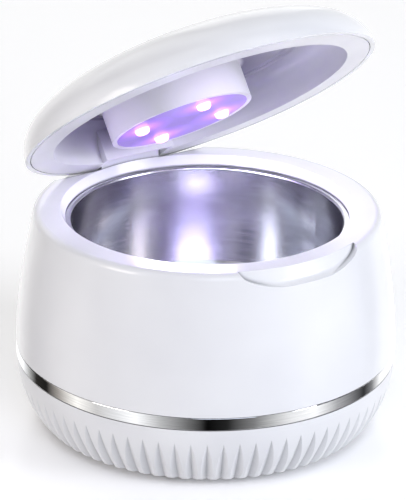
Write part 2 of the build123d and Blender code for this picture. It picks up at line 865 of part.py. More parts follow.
# Leads: from the piezo disc and from the jack to their sockets
socket_top_z = board_top_z + socket_height
with BuildPart() as piezo_leads:
    for side in (-1, 1):
        start = (piezo_lead_x, piezo_lead_y + side * lead_pitch, piezo_z)
        drop = (piezo_lead_x, piezo_lead_y + side * lead_pitch, (piezo_z + socket_top_z) / 2)
        land = (piezo_socket[0], piezo_socket[1] + side * lead_pitch, (piezo_z + socket_top_z) / 2)
        end = (piezo_socket[0], piezo_socket[1] + side * lead_pitch, socket_top_z)
        add(lead((start, drop, land, end), bend=piezo_lead_bend))
piezo_leads.part.label = "piezo_leads"
export_step(piezo_leads.part, "parts/piezo_leads.step")

tag_y = jack_seat_y - jack_depth - jack_tag_length
with BuildPart() as jack_leads:
    for side in (-1, 1):
        start = (side * jack_tag_x, tag_y, jack_z)
        back = (side * jack_tag_x, tag_y - jack_lead_back, jack_z)
        lead_x = jack_socket[0] + side * lead_pitch
        rise = (lead_x, jack_socket[1] + jack_lead_over, socket_top_z + jack_lead_rise)
        over = (lead_x, jack_socket[1], socket_top_z + jack_lead_rise)
        end = (lead_x, jack_socket[1], socket_top_z)
        add(lead((start, back, rise, over, end), bend=jack_lead_bend))
jack_leads.part.label = "jack_leads"
export_step(jack_leads.part, "parts/jack_leads.step")

# Power button: domed cap with a flange behind the wall, and the switch stem that it pushes
button_face_y = body_radius - button_face_drop
flange_back_y = button_seat_y - button_flange_gap - button_flange_height
with BuildPart() as power_button:
    with BuildSketch(Plane.XZ.offset(-flange_back_y)):
        with Locations((0, button_z)):
            Circle(button_radius + button_flange)
    extrude(amount=-button_flange_height)
    with BuildSketch(Plane.XZ.offset(-flange_back_y)):
        with Locations((0, button_z)):
            Circle(button_radius)
    extrude(amount=-(button_face_y - flange_back_y))
    fillet(power_button.edges().sort_by(Axis.Y)[-1], radius=button_round)
power_button.part.label = "power_button"
export_step(power_button.part, "parts/power_button.step")

switch_top_y = button_back_y + switch_height
with BuildPart() as switch_stem:
    with BuildSketch(Plane.XZ.offset(-flange_back_y)):
        with Locations((0, button_z)):
            Circle(stem_radius)
    extrude(amount=flange_back_y - switch_top_y + stem_depth)
switch_stem.part.label = "switch_stem"
export_step(switch_stem.part, "parts/switch_stem.step")

# Switch body on its small board, screwed to the two posts
with BuildPart() as button_switch:
    with BuildSketch(Plane.XZ.offset(-button_back_y)):
        with Locations((0, button_z)):
            Rectangle(switch_size, switch_size)
    extrude(amount=-switch_height)
    with BuildSketch(Plane.XZ.offset(-switch_top_y)):
        with Locations((0, button_z)):
            Circle(stem_radius + button_clearance)
    extrude(amount=stem_depth + button_travel + switch_play, mode=Mode.SUBTRACT)
button_switch.part.label = "button_switch"
export_step(button_switch.part, "parts/button_switch.step")

with BuildPart() as button_board:
    with BuildSketch(Plane.XZ.offset(-button_back_y)):
        with Locations((0, button_z)):
            RectangleRounded(button_board_width, button_board_height, button_board_corner)
        with Locations((-button_post_x, button_z), (button_post_x, button_z)):
            Circle(small_screw_radius + screw_hole_clearance, mode=Mode.SUBTRACT)
    extrude(amount=board_thickness)
button_board.part.label = "button_board"
export_step(button_board.part, "parts/button_board.step")

with BuildPart() as button_screws:
    with Locations(
        (-button_post_x, button_back_y - board_thickness, button_z),
        (button_post_x, button_back_y - board_thickness, button_z),
    ):
        with Locations(Location((0, 0, 0), (-90, 0, 0))):
            add(small_screw)
button_screws.part.label = "button_screws"
export_step(button_screws.part, "parts/button_screws.step")

# Lid sensor: a sealed reed switch on a small board under the front of the clamp ring
sensor_y = -(clamp_inner + clamp_outer) / 2
with BuildPart() as lid_sensor:
    with Locations((0, sensor_y, clamp_under_z)):
        Box(
            sensor_board_length,
            sensor_board_width,
            board_thickness,
            align=(Align.CENTER, Align.CENTER, Align.MAX),
        )
    with BuildSketch(Plane.YZ):
        with Locations((sensor_y, clamp_under_z - board_thickness - sensor_tube_drop)):
            Circle(sensor_tube_radius)
    extrude(amount=sensor_tube_half, both=True)
lid_sensor.part.label = "lid_sensor"
export_step(lid_sensor.part, "parts/lid_sensor.step")

# Hinge block: a low bar along the mouth with a knuckle for the pin, screwed down from below
with BuildPart() as hinge_block:
    with BuildSketch(Plane.XY.offset(top_z)):
        Rectangle(2 * bar_half, 2 * (mouth_radius + bar_edge + bar_depth))
        Circle(mouth_radius + bar_edge, mode=Mode.SUBTRACT)
        Rectangle(4 * bar_half, 4 * body_radius, align=(Align.CENTER, Align.MAX), mode=Mode.SUBTRACT)
    extrude(amount=bar_height)
    fillet(hinge_block.edges().group_by(Axis.Z)[-1], radius=bar_round)
    with BuildSketch(Plane.YZ):
        with Locations((hinge_y, hinge_z)):
            Circle(knuckle_radius)
        with Locations((hinge_y + column_back, top_z)):
            Rectangle(knuckle_radius + column_back, hinge_z - top_z, align=(Align.MAX, Align.MIN))
    extrude(amount=knuckle_half, both=True)
    with BuildSketch(Plane.YZ):
        with Locations((hinge_y, hinge_z)):
            Circle(pin_radius)
    extrude(amount=bar_half, both=True, mode=Mode.SUBTRACT)
    with BuildSketch(Plane.XY.offset(top_z)):
        with Locations((-hinge_screw_x, hinge_screw_y), (hinge_screw_x, hinge_screw_y)):
            Circle(small_screw_radius)
    extrude(amount=bar_height - bar_skin, mode=Mode.SUBTRACT)
hinge_block.part.label = "hinge_block"
export_step(hinge_block.part, "parts/hinge_block.step")

hinge_screw_length = top_z - clamp_z - small_head_height + bar_height - screw_end_gap
with BuildPart() as hinge_screws:
    with Locations(
        (-hinge_screw_x, hinge_screw_y, clamp_z + small_head_height),
        (hinge_screw_x, hinge_screw_y, clamp_z + small_head_height),
    ):
        add(pan_screw(hinge_screw_length, small_screw_radius, small_head_radius, small_head_height))
hinge_screws.part.label = "hinge_screws"
export_step(hinge_screws.part, "parts/hinge_screws.step")

# Hinge pin and the two friction washers that hold the lid where it is left
with BuildPart() as hinge_pin:
    with BuildSketch(Plane.YZ):
        with Locations((hinge_y, hinge_z)):
            Circle(pin_radius)
    extrude(amount=ear_inner + ear_thickness, both=True)
    chamfer(hinge_pin.edges().filter_by(GeomType.CIRCLE), length=pin_end_bevel)
hinge_pin.part.label = "hinge_pin"
export_step(hinge_pin.part, "parts/hinge_pin.step")

with BuildPart() as friction_washers:
    for side in (-1, 1):
        with BuildSketch(Plane.YZ.offset(side * (knuckle_half + washer_gap + washer_thickness / 2))):
            with Locations((hinge_y, hinge_z)):
                Circle(knuckle_radius - washer_gap)
                Circle(pin_radius + pin_clearance, mode=Mode.SUBTRACT)
        extrude(amount=washer_thickness / 2, both=True)
friction_washers.part.label = "friction_washers"
export_step(friction_washers.part, "parts/friction_washers.step")

# Lid shell: the dome, with screw posts, the hinge window at the rear and a barrel round the knuckle and pin
barrel_half = ear_inner + ear_thickness
with BuildPart() as lid_shell:
    with BuildSketch(on_lid(Plane.XZ)):
        with BuildLine():
            outer = dome_line(lid_radius, lid_height)
            inner = dome_line(lid_radius - lid_rim_wall, lid_height - lid_wall)
            Line(outer @ 0, inner @ 0)
            Line(outer @ 1, inner @ 1)
        make_face()
    revolve(axis=lid_axis)
    with BuildSketch(on_lid(Plane.XY)):
        with Locations((0, hinge_y)):
            Rectangle(2 * window_half, lid_radius, align=(Align.CENTER, Align.MIN))
    extrude(amount=hinge_rise - window_drop, mode=Mode.SUBTRACT)
    with BuildSketch(on_lid(Plane.YZ)):
        with Locations((hinge_y, hinge_rise)):
            Circle(barrel_radius)
    extrude(amount=barrel_half, both=True)
    with BuildSketch(on_lid(Plane.XY.offset(cavity_depth + liner_wall))):
        with Locations((0, boss_offset)):
            with PolarLocations(liner_screw_circle, liner_screw_count, start_angle=90):
                Circle(liner_post_radius)
    extrude(amount=lid_height - lid_wall - cavity_depth - liner_wall)

    # slot for the knuckle and the block's column, and the pin's bore
    with BuildSketch(on_lid(Plane.YZ)):
        with Locations((hinge_y, hinge_rise)):
            Circle(knuckle_radius + knuckle_clearance)
        with Locations((hinge_y, hinge_rise + slot_lift)):
            Rectangle(2 * lid_radius, lid_height, align=(Align.CENTER, Align.MAX))
        with Locations((hinge_y - barrel_radius, hinge_rise)):
            Rectangle(lid_radius, 3 * lid_height, align=(Align.MAX, Align.CENTER), mode=Mode.SUBTRACT)
    extrude(amount=ear_inner, both=True, mode=Mode.SUBTRACT)
    with BuildSketch(on_lid(Plane.YZ)):
        with Locations((hinge_y, hinge_rise)):
            Circle(pin_radius + pin_clearance)
    extrude(amount=barrel_half, both=True, mode=Mode.SUBTRACT)
    with BuildSketch(on_lid(Plane.XY.offset(cavity_depth + liner_wall))):
        with Locations((0, boss_offset)):
            with PolarLocations(liner_screw_circle, liner_screw_count, start_angle=90):
                Circle(screw_radius)
    extrude(amount=liner_screw_bite, mode=Mode.SUBTRACT)
lid_shell.part.label = "lid_shell"
export_step(lid_shell.part, "parts/lid_shell.step")

# Lid liner: flat rim, hollow with two fine beads, pocket round the hinge and the lamp boss
liner_radius = lid_radius - lid_rim_wall - liner_seam
ceiling = cavity_depth + liner_wall
with BuildPart() as lid_liner:
    with BuildSketch(on_lid(Plane.XZ)):
        with BuildLine():
            wall_foot = (cavity_radius, 0)
            wall_head = (cavity_radius - cavity_draft, cavity_depth)
            Polyline(
                (0, cavity_depth),
                wall_head,
                wall_foot,
                (liner_radius, 0),
                (liner_radius, liner_wall),
                (cavity_radius + liner_wall, liner_wall),
                (cavity_radius + liner_wall - cavity_draft, ceiling),
                (0, ceiling),
                close=True,
            )
        liner_face = make_face()
        inside = lid.from_local_coords(Vector(wall_head[0], 0, wall_head[1]))
        outside = lid.from_local_coords(Vector(cavity_radius + liner_wall - cavity_draft, 0, ceiling))
        corners = liner_face.vertices()
        fillet(corners.sort_by_distance(inside)[0], radius=cavity_round)
        fillet(corners.sort_by_distance(outside)[0], radius=cavity_round + liner_wall)
    revolve(axis=lid_axis)
    with BuildSketch(on_lid(Plane.XZ)):
        for radius in bead_radii:
            with BuildLine():
                Polyline(
                    (radius - bead_width / 2, cavity_depth),
                    (radius, cavity_depth - bead_height),
                    (radius + bead_width / 2, cavity_depth),
                    close=True,
                )
            make_face()
    revolve(axis=lid_axis)

    # hinge pocket
    with BuildSketch(on_lid(Plane.XY)):
        with Locations((0, pocket_front)):
            Rectangle(
                2 * (window_half + pocket_wall),
                cavity_radius + liner_wall - pocket_front,
                align=(Align.CENTER, Align.MIN),
            )
    extrude(amount=ceiling)
    with BuildSketch(on_lid(Plane.XZ)):
        with BuildLine():
            limit = dome_line(liner_radius, lid_height - lid_wall - liner_seam)
            Polyline(limit @ 0, (0, 0), limit @ 1)
        make_face()
    revolve(axis=lid_axis, mode=Mode.INTERSECT)
    with BuildSketch(on_lid(Plane.XY)):
        with Locations((0, pocket_front + pocket_wall)):
            Rectangle(2 * window_half, lid_radius, align=(Align.CENTER, Align.MIN))
    extrude(amount=lid_height, mode=Mode.SUBTRACT)

    # lamp boss, its roof holes and the screws' clearance
    with BuildSketch(on_lid(Plane.XY)):
        with Locations((0, boss_offset)):
            Circle(boss_radius)
    extrude(amount=cavity_depth)
    with BuildSketch(on_lid(Plane.XY)):
        with Locations((0, boss_offset)):
            Circle(boss_radius - liner_wall)
    extrude(amount=cavity_depth, mode=Mode.SUBTRACT)
    with BuildSketch(on_lid(Plane.XY.offset(cavity_depth))):
        with Locations((0, boss_offset)):
            with PolarLocations(liner_screw_circle, liner_screw_count, start_angle=90):
                Circle(screw_radius + screw_hole_clearance)
    extrude(amount=liner_wall, mode=Mode.SUBTRACT)
    with BuildSketch(on_lid(Plane.XY.offset(liner_wall))):
        with Locations((0, -magnet_circle)):
            Circle(magnet_radius + magnet_seat)
            Circle(magnet_radius + magnet_clearance, mode=Mode.SUBTRACT)
    extrude(amount=magnet_seat_height)
lid_liner.part.label = "lid_liner"
export_step(lid_liner.part, "parts/lid_liner.step")

# Lamp cover: a disc set flush in the boss, with lamp holes and posts for the lamp board
with BuildPart() as lamp_cover:
    with BuildSketch(on_lid(Plane.XY)):
        with Locations((0, boss_offset)):
            Circle(boss_radius - liner_wall - cover_gap)
            with PolarLocations(lamp_circle, lamp_count):
                Circle(lamp_radius + lamp_clearance, mode=Mode.SUBTRACT)
    extrude(amount=cover_thickness)
    with BuildSketch(on_lid(Plane.XY.offset(cover_thickness))):
        with Locations((0, boss_offset)):
            with PolarLocations(lamp_circle, lamp_count, start_angle=45):
                Circle(lamp_post_radius)
    extrude(amount=lamp_board_z - cover_thickness)
lamp_cover.part.label = "lamp_cover"
export_step(lamp_cover.part, "parts/lamp_cover.step")

# Lamp board and the four violet lamps
with BuildPart() as lamp_board:
    with BuildSketch(on_lid(Plane.XY.offset(lamp_board_z))):
        with Locations((0, boss_offset)):
            Circle(lamp_board_radius)
    extrude(amount=board_thickness)
lamp_board.part.label = "lamp_board"
export_step(lamp_board.part, "parts/lamp_board.step")

with BuildPart() as uv_lamps:
    with BuildSketch(on_lid(Plane.XY.offset(-lamp_flange))):
        with Locations((0, boss_offset)):
            with PolarLocations(lamp_circle, lamp_count):
                Circle(lamp_radius)
    extrude(amount=lamp_board_z + lamp_flange)
    with BuildSketch(on_lid(Plane.XY.offset(-lamp_flange))):
        with Locations((0, boss_offset)):
            with PolarLocations(lamp_circle, lamp_count):
                Circle(lamp_radius)
    extrude(amount=-lamp_dome)
    lens_edges = uv_lamps.edges().group_by(lid_axis)[0]
    fillet(lens_edges, radius=lamp_dome_round)
uv_lamps.part.label = "uv_lamps"
export_step(uv_lamps.part, "parts/uv_lamps.step")

# Screws that hold the liner to the dome, hidden inside the lamp boss
liner_screw_length = liner_wall + liner_screw_bite - screw_end_gap
liner_screw = pan_screw(liner_screw_length, screw_radius, screw_head_radius, screw_head_height)
with BuildPart(on_lid(Plane.XY)) as liner_screws:
    with Locations((0, boss_offset, cavity_depth)):
        with PolarLocations(liner_screw_circle, liner_screw_count, start_angle=90):
            add(liner_screw)
liner_screws.part.label = "liner_screws"
export_step(liner_screws.part, "parts/liner_screws.step")

# Magnet that tells the lid sensor when the lid is shut
with BuildPart() as lid_magnet:
    with BuildSketch(on_lid(Plane.XY.offset(liner_wall))):
        with Locations((0, -magnet_circle)):
            Circle(magnet_radius)
    extrude(amount=magnet_height)
lid_magnet.part.label = "lid_magnet"
export_step(lid_magnet.part, "parts/lid_magnet.step")
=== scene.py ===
"""Looks of a round ultrasonic retainer cleaner with a lamp lid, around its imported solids."""

import math

import bmesh
import bpy
from mathutils import Matrix, Vector


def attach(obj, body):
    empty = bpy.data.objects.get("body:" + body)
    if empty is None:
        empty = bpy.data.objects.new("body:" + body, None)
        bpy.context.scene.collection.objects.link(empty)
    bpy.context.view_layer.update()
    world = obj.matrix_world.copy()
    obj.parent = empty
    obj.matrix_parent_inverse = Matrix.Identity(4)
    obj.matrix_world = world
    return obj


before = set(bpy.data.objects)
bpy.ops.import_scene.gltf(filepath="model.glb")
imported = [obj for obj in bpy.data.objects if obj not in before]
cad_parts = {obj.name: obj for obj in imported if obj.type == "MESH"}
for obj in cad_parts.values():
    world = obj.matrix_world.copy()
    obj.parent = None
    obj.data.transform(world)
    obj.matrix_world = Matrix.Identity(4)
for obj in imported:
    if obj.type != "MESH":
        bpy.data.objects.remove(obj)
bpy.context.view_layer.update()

MM = 0.001

# Where the lid stands at rest, and what it carries, in millimetres and degrees
LID_ANGLE = 37.5
HINGE_Y = 53.0
HINGE_Z = 88.0
RIM_Z = 78.0
BOSS_Y = 14.4
LAMP_CIRCLE = 16.3
LAMP_COUNT = 4
LAMP_RADIUS = 2.5

# The camera: a long lens a little above the object, from its front left. Angles are in degrees
# and lengths in millimetres, but the focus is in pixels of a picture this many pixels high.
PICTURE_HEIGHT = 500
CAMERA_AZIMUTH = -34.017
CAMERA_ELEVATION = 22.857
CAMERA_ROLL = 0.816
CAMERA_DISTANCE = 927.07
CAMERA_FOCUS = 2690.55
CAMERA_SIDE = -1.329
CAMERA_HEIGHT = 61.364
SENSOR = 36.0

# A noise texture's value mostly lies between these
NOISE_LOW = 0.3
NOISE_HIGH = 0.7

# Typical refractive indices
ABS_IOR = 1.53
SILICONE_IOR = 1.42
RESIST_IOR = 1.5
CERAMIC_IOR = 1.6
EPOXY_IOR = 1.5

# Orange peel of a polished tool's moulding, in millimetres: about 2.5 across, some microns deep
PEEL_WIDTH = 2.5
PEEL_DEPTH = 0.004

# The lid's hollow, in millimetres: where its painted shade starts and is full, and the measure's
# reach
HOLLOW_SHALLOW = 2.0
HOLLOW_DEEP = 11.0
HOLLOW_REACH = 60.0

# Painted shade by distance from the boss's axis, as a share of that reach:
# nothing on the boss, most beside it, little by the outer wall
HOLLOW_SHADE = (
    (0.42, "#000000"), (0.45, "#ffffff"), (0.66, "#c8c8c8"), (0.74, "#bcbcbc"), (0.88, "#000000"),
)
# colour of the painted shade deep in the hollow
PAINTED_SHADE_LAVENDER = "#5e5874"
DEEP_PAINTED_GLOW_SHARE = 0.15

# Painted violet glow, standing in for lamp light that the plastic scatters, from its furthest reach
# to the lamp
COVER_PAINTED_GLOW = ((0.0, "#5a2fb0"), (0.4, "#8a4ce8"), (0.8, "#e07cff"), (1.0, "#ffc4ff"))
HOLLOW_PAINTED_GLOW = ((0.0, "#000000"), (0.45, "#40384c"), (0.75, "#9484b0"), (1.0, "#c890e4"))

# New pieces: edges sharper than this many degrees stay sharp
SHARP_ANGLE = 35

# In metres: how far the floor reaches, how far softboxes stand from the point they look at,
# and that point's height. The last is a softbox's height over its width.
FLOOR_REACH = 0.8
SOFTBOX_DISTANCE = 1.25
SOFTBOX_AIM = 0.06
SOFTBOX_ASPECT = 1.3

# Brightness of the floor and the walls where they light the object and where they are seen,
# and of the walls and cards that metal mirrors
FLOOR_LIT = 0.9
FLOOR_SEEN = 1.25
WALL_LIT = 0.32
WALL_SEEN = 1.0
CARD_STRENGTH = 1.22

# White walls and dark cards that polished metal mirrors: bearing in degrees and colour
STUDIO = (
    (-180, "#e0e0e0"), (-166, "#ffffff"), (-150, "#b4b4b4"), (-134, "#6c6c6c"), (-123, "#040404"),
    (-110, "#222222"), (-94, "#7c7c7c"), (-72, "#e4e4e4"), (-54, "#ffffff"), (-37, "#a8a8aa"),
    (-20, "#646466"), (-12, "#2c2c2e"), (-3, "#7c7c7e"), (8, "#ffffff"), (90, "#ffffff"),
    (104, "#9c9c9a"), (112, "#2c2a28"), (125, "#1c1b1a"), (137, "#a09a94"), (153, "#fffcf6"),
    (168, "#cac8c6"), (180, "#e0e0e0"),
)


def lid_matrix():
    """Moves a piece modelled on the closed lid's rim plane to the open lid, in metres."""
    hinge = Vector((0, HINGE_Y, HINGE_Z)) * MM
    opened = Matrix.Rotation(math.radians(-LID_ANGLE), 4, "X")
    closed = Matrix.Translation(Vector((0, -HINGE_Y, RIM_Z - HINGE_Z)) * MM)
    return Matrix.Translation(hinge) @ opened @ closed


def lamp_spots(height_mm):
    """Where the lamps stand, this far above the closed lid's rim plane, in metres."""
    for number in range(LAMP_COUNT):
        turn = math.tau * number / LAMP_COUNT
        across, along = LAMP_CIRCLE * math.cos(turn), LAMP_CIRCLE * math.sin(turn)
        yield Vector((across, BOSS_Y + along, height_mm)) * MM


# Materials

def linear(code):
    """sRGB hex colour as linear red, green, blue and alpha."""
    channels = [int(code[i:i + 2], 16) / 255 for i in (1, 3, 5)]
    return [c / 12.92 if c <= 0.04045 else ((c + 0.055) / 1.055) ** 2.4 for c in channels] + [1.0]


def add(tree, kind, settings=None, links=None):
    """Adds one node to a node tree, with its settings and the sockets that feed it."""
    node = tree.nodes.new(kind)
    for name, value in (settings or {}).items():
        if name == "stops":
            ramp = node.color_ramp.elements
            for place, (position, code) in enumerate(value):
                stop = ramp[place] if place < len(ramp) else ramp.new(position)
                stop.position = position
                stop.color = linear(code)
        elif name in node.inputs:
            node.inputs[name].default_value = value
        else:
            setattr(node, name, value)
    for name, socket in (links or {}).items():
        tree.links.new(socket, node.inputs[name])
    return node


def start(name):
    """A new material with an empty node tree."""
    material = bpy.data.materials.new(name)
    material.use_nodes = True
    material.node_tree.nodes.clear()
    return material, material.node_tree


def painted_crevice_shade(tree, colour, reach_mm, deepest):
    """The same colour, darkened with painted shade from ambient occlusion in flutes and seams this
    wide.
    """
    open_sky = add(tree, "ShaderNodeAmbientOcclusion", {"samples": 8, "Distance": reach_mm * MM})
    painted_shade_ramp = add(
        tree, "ShaderNodeValToRGB",
        {"stops": ((0.45, deepest), (0.95, "#ffffff"))}, {"Fac": open_sky.outputs["AO"]},
    )
    return add(
        tree, "ShaderNodeMixRGB", {"blend_type": "MULTIPLY", "Fac": 1.0},
        {"Color1": colour, "Color2": painted_shade_ramp.outputs["Color"]},
    ).outputs["Color"]


def glossy_abs(name, dark, light, rough_low, rough_high):
    """ABS moulded in a polished tool: bright soft highlights with a faint orange peel."""
    material, tree = start(name)
    place = add(tree, "ShaderNodeTexCoord").outputs["Object"]
    # flow of the melt, a few centimetres across, gives a barely uneven white
    flow = add(
        tree, "ShaderNodeTexNoise", {"Scale": 1 / (38 * MM), "Detail": 2.0}, {"Vector": place},
    )
    white = add(
        tree, "ShaderNodeValToRGB",
        {"stops": ((NOISE_LOW, dark), (NOISE_HIGH, light))}, {"Fac": flow.outputs["Fac"]},
    )
    # the tool's polish differs from place to place, so highlights sharpen and soften
    polish = add(
        tree, "ShaderNodeTexNoise", {"Scale": 1 / (11 * MM), "Detail": 2.0}, {"Vector": place},
    )
    rough = add(
        tree, "ShaderNodeMapRange",
        {"From Min": NOISE_LOW, "From Max": NOISE_HIGH, "To Min": rough_low, "To Max": rough_high},
        {"Value": polish.outputs["Fac"]},
    )
    # orange peel makes the highlights' edges waver a little
    peel = add(
        tree, "ShaderNodeTexNoise", {"Scale": 1 / (PEEL_WIDTH * MM), "Detail": 1.0},
        {"Vector": place},
    )
    relief = add(
        tree, "ShaderNodeBump", {"Strength": 0.06, "Distance": PEEL_DEPTH * MM},
        {"Height": peel.outputs["Fac"]},
    )
    # painted shade in flutes and seams, from ambient occlusion
    shaded = painted_crevice_shade(tree, white.outputs["Color"], 1.5, "#a0a0a2")
    shader = add(
        tree, "ShaderNodeBsdfPrincipled", {"IOR": ABS_IOR},
        {
            "Base Color": shaded,
            "Roughness": rough.outputs["Result"],
            "Normal": relief.outputs["Normal"],
        },
    )
    add(tree, "ShaderNodeOutputMaterial", {}, {"Surface": shader.outputs["BSDF"]})
    return material


def satin_abs(name, dark, light, rough_low, rough_high):
    """ABS from a spark-eroded tool: even satin sheen, with a fine grain that breaks highlights."""
    material, tree = start(name)
    place = add(tree, "ShaderNodeTexCoord").outputs["Object"]
    flow = add(
        tree, "ShaderNodeTexNoise", {"Scale": 1 / (30 * MM), "Detail": 2.0}, {"Vector": place},
    )
    white = add(
        tree, "ShaderNodeValToRGB",
        {"stops": ((NOISE_LOW, dark), (NOISE_HIGH, light))}, {"Fac": flow.outputs["Fac"]},
    )
    # handling rubs the satin a little glossier in patches of some millimetres
    rubbed = add(
        tree, "ShaderNodeTexNoise", {"Scale": 1 / (8 * MM), "Detail": 2.0}, {"Vector": place},
    )
    rough = add(
        tree, "ShaderNodeMapRange",
        {"From Min": NOISE_LOW, "From Max": NOISE_HIGH, "To Min": rough_low, "To Max": rough_high},
        {"Value": rubbed.outputs["Fac"]},
    )
    # spark grain is about 0.1 mm across, drawn 0.35 mm so that it shows at all
    spark = add(
        tree, "ShaderNodeTexNoise", {"Scale": 1 / (0.35 * MM), "Detail": 2.0}, {"Vector": place},
    )
    relief = add(
        tree, "ShaderNodeBump", {"Strength": 0.1, "Distance": 0.01 * MM},
        {"Height": spark.outputs["Fac"]},
    )
    # painted shade in flutes and seams, from ambient occlusion
    shaded = painted_crevice_shade(tree, white.outputs["Color"], 3.0, "#a8a8aa")
    shader = add(
        tree, "ShaderNodeBsdfPrincipled", {"IOR": ABS_IOR},
        {
            "Base Color": shaded,
            "Roughness": rough.outputs["Result"],
            "Normal": relief.outputs["Normal"],
        },
    )
    add(tree, "ShaderNodeOutputMaterial", {}, {"Surface": shader.outputs["BSDF"]})
    return material


def rubber(name, dark, light):
    """Moulded silicone or rubber: matt, with a soft bloom."""
    material, tree = start(name)
    place = add(tree, "ShaderNodeTexCoord").outputs["Object"]
    # bloom: a hazy film in patches of a few millimetres
    bloom = add(
        tree, "ShaderNodeTexNoise", {"Scale": 1 / (4 * MM), "Detail": 3.0}, {"Vector": place},
    )
    colour = add(
        tree, "ShaderNodeValToRGB",
        {"stops": ((NOISE_LOW, dark), (NOISE_HIGH, light))}, {"Fac": bloom.outputs["Fac"]},
    )
    rough = add(
        tree, "ShaderNodeMapRange",
        {"From Min": NOISE_LOW, "From Max": NOISE_HIGH, "To Min": 0.62, "To Max": 0.8},
        {"Value": bloom.outputs["Fac"]},
    )
    # the mould's blasted skin breaks every highlight up
    skin = add(
        tree, "ShaderNodeTexNoise", {"Scale": 1 / (0.5 * MM), "Detail": 2.0}, {"Vector": place},
    )
    relief = add(
        tree, "ShaderNodeBump", {"Strength": 0.3, "Distance": 0.02 * MM},
        {"Height": skin.outputs["Fac"]},
    )
    shader = add(
        tree, "ShaderNodeBsdfPrincipled", {"IOR": SILICONE_IOR},
        {
            "Base Color": colour.outputs["Color"],
            "Roughness": rough.outputs["Result"],
            "Normal": relief.outputs["Normal"],
        },
    )
    add(tree, "ShaderNodeOutputMaterial", {}, {"Surface": shader.outputs["BSDF"]})
    return material


def turned_metal(name, dark, light, rough_low, rough_high, line_mm):
    """Polished metal with fine rings round the body's axis, left by the buffing wheel."""
    material, tree = start(name)
    place = add(tree, "ShaderNodeTexCoord").outputs["Object"]
    # a pattern drawn out across the axis reads as rings, which streak the highlights; real lines
    # are some hundredths of a millimetre apart, drawn about ten times that so that they show
    rings = add(tree, "ShaderNodeMapping", {"Scale": (0.03, 0.03, 1.0)}, {"Vector": place})
    lines = add(
        tree, "ShaderNodeTexNoise", {"Scale": 1 / (line_mm * MM), "Detail": 3.0, "Roughness": 0.6},
        {"Vector": rings.outputs["Vector"]},
    )
    colour = add(
        tree, "ShaderNodeValToRGB",
        {"stops": ((NOISE_LOW, dark), (NOISE_HIGH, light))}, {"Fac": lines.outputs["Fac"]},
    )
    rough = add(
        tree, "ShaderNodeMapRange",
        {"From Min": NOISE_LOW, "From Max": NOISE_HIGH, "To Min": rough_low, "To Max": rough_high},
        {"Value": lines.outputs["Fac"]},
    )
    shader = add(
        tree, "ShaderNodeBsdfPrincipled", {"Metallic": 1.0},
        {"Base Color": colour.outputs["Color"], "Roughness": rough.outputs["Result"]},
    )
    add(tree, "ShaderNodeOutputMaterial", {}, {"Surface": shader.outputs["BSDF"]})
    return material


def plain_metal(name, dark, light, rough_low, rough_high):
    """Drawn or plated metal of small parts: slightly uneven gloss."""
    material, tree = start(name)
    place = add(tree, "ShaderNodeTexCoord").outputs["Object"]
    # plating grows in patches of a millimetre or two
    patch = add(
        tree, "ShaderNodeTexNoise", {"Scale": 1 / (1.6 * MM), "Detail": 3.0}, {"Vector": place},
    )
    colour = add(
        tree, "ShaderNodeValToRGB",
        {"stops": ((NOISE_LOW, dark), (NOISE_HIGH, light))}, {"Fac": patch.outputs["Fac"]},
    )
    rough = add(
        tree, "ShaderNodeMapRange",
        {"From Min": NOISE_LOW, "From Max": NOISE_HIGH, "To Min": rough_low, "To Max": rough_high},
        {"Value": patch.outputs["Fac"]},
    )
    shader = add(
        tree, "ShaderNodeBsdfPrincipled", {"Metallic": 1.0},
        {"Base Color": colour.outputs["Color"], "Roughness": rough.outputs["Result"]},
    )
    add(tree, "ShaderNodeOutputMaterial", {}, {"Surface": shader.outputs["BSDF"]})
    return material


def hard_board(name, dark, light):
    """Glass-fibre board under solder resist: satin, with the cloth's faint weave."""
    material, tree = start(name)
    place = add(tree, "ShaderNodeTexCoord").outputs["Object"]
    resist = add(
        tree, "ShaderNodeTexNoise", {"Scale": 1 / (5 * MM), "Detail": 3.0}, {"Vector": place},
    )
    colour = add(
        tree, "ShaderNodeValToRGB",
        {"stops": ((NOISE_LOW, dark), (NOISE_HIGH, light))}, {"Fac": resist.outputs["Fac"]},
    )
    # the cloth's threads are 0.5 mm apart, drawn twice that so that they show
    cloth = add(
        tree, "ShaderNodeTexWave", {"Scale": 1 / (3.2 * MM), "Distortion": 0.6}, {"Vector": place},
    )
    rough = add(
        tree, "ShaderNodeMapRange", {"To Min": 0.32, "To Max": 0.42},
        {"Value": cloth.outputs["Fac"]},
    )
    relief = add(
        tree, "ShaderNodeBump", {"Strength": 0.2, "Distance": 0.004 * MM},
        {"Height": cloth.outputs["Fac"]},
    )
    shader = add(
        tree, "ShaderNodeBsdfPrincipled", {"IOR": RESIST_IOR},
        {
            "Base Color": colour.outputs["Color"],
            "Roughness": rough.outputs["Result"],
            "Normal": relief.outputs["Normal"],
        },
    )
    add(tree, "ShaderNodeOutputMaterial", {}, {"Surface": shader.outputs["BSDF"]})
    return material


def fired_ceramic(name, dark, light, rough):
    """Pressed and fired ceramic: dull and faintly speckled."""
    material, tree = start(name)
    place = add(tree, "ShaderNodeTexCoord").outputs["Object"]
    # grains of the powder show as specks of about half a millimetre
    speck = add(
        tree, "ShaderNodeTexNoise",
        {"Scale": 1 / (0.6 * MM), "Detail": 4.0, "Roughness": 0.7}, {"Vector": place},
    )
    colour = add(
        tree, "ShaderNodeValToRGB",
        {"stops": ((0.35, dark), (0.65, light))}, {"Fac": speck.outputs["Fac"]},
    )
    shader = add(
        tree, "ShaderNodeBsdfPrincipled", {"IOR": CERAMIC_IOR, "Roughness": rough},
        {"Base Color": colour.outputs["Color"]},
    )
    add(tree, "ShaderNodeOutputMaterial", {}, {"Surface": shader.outputs["BSDF"]})
    return material


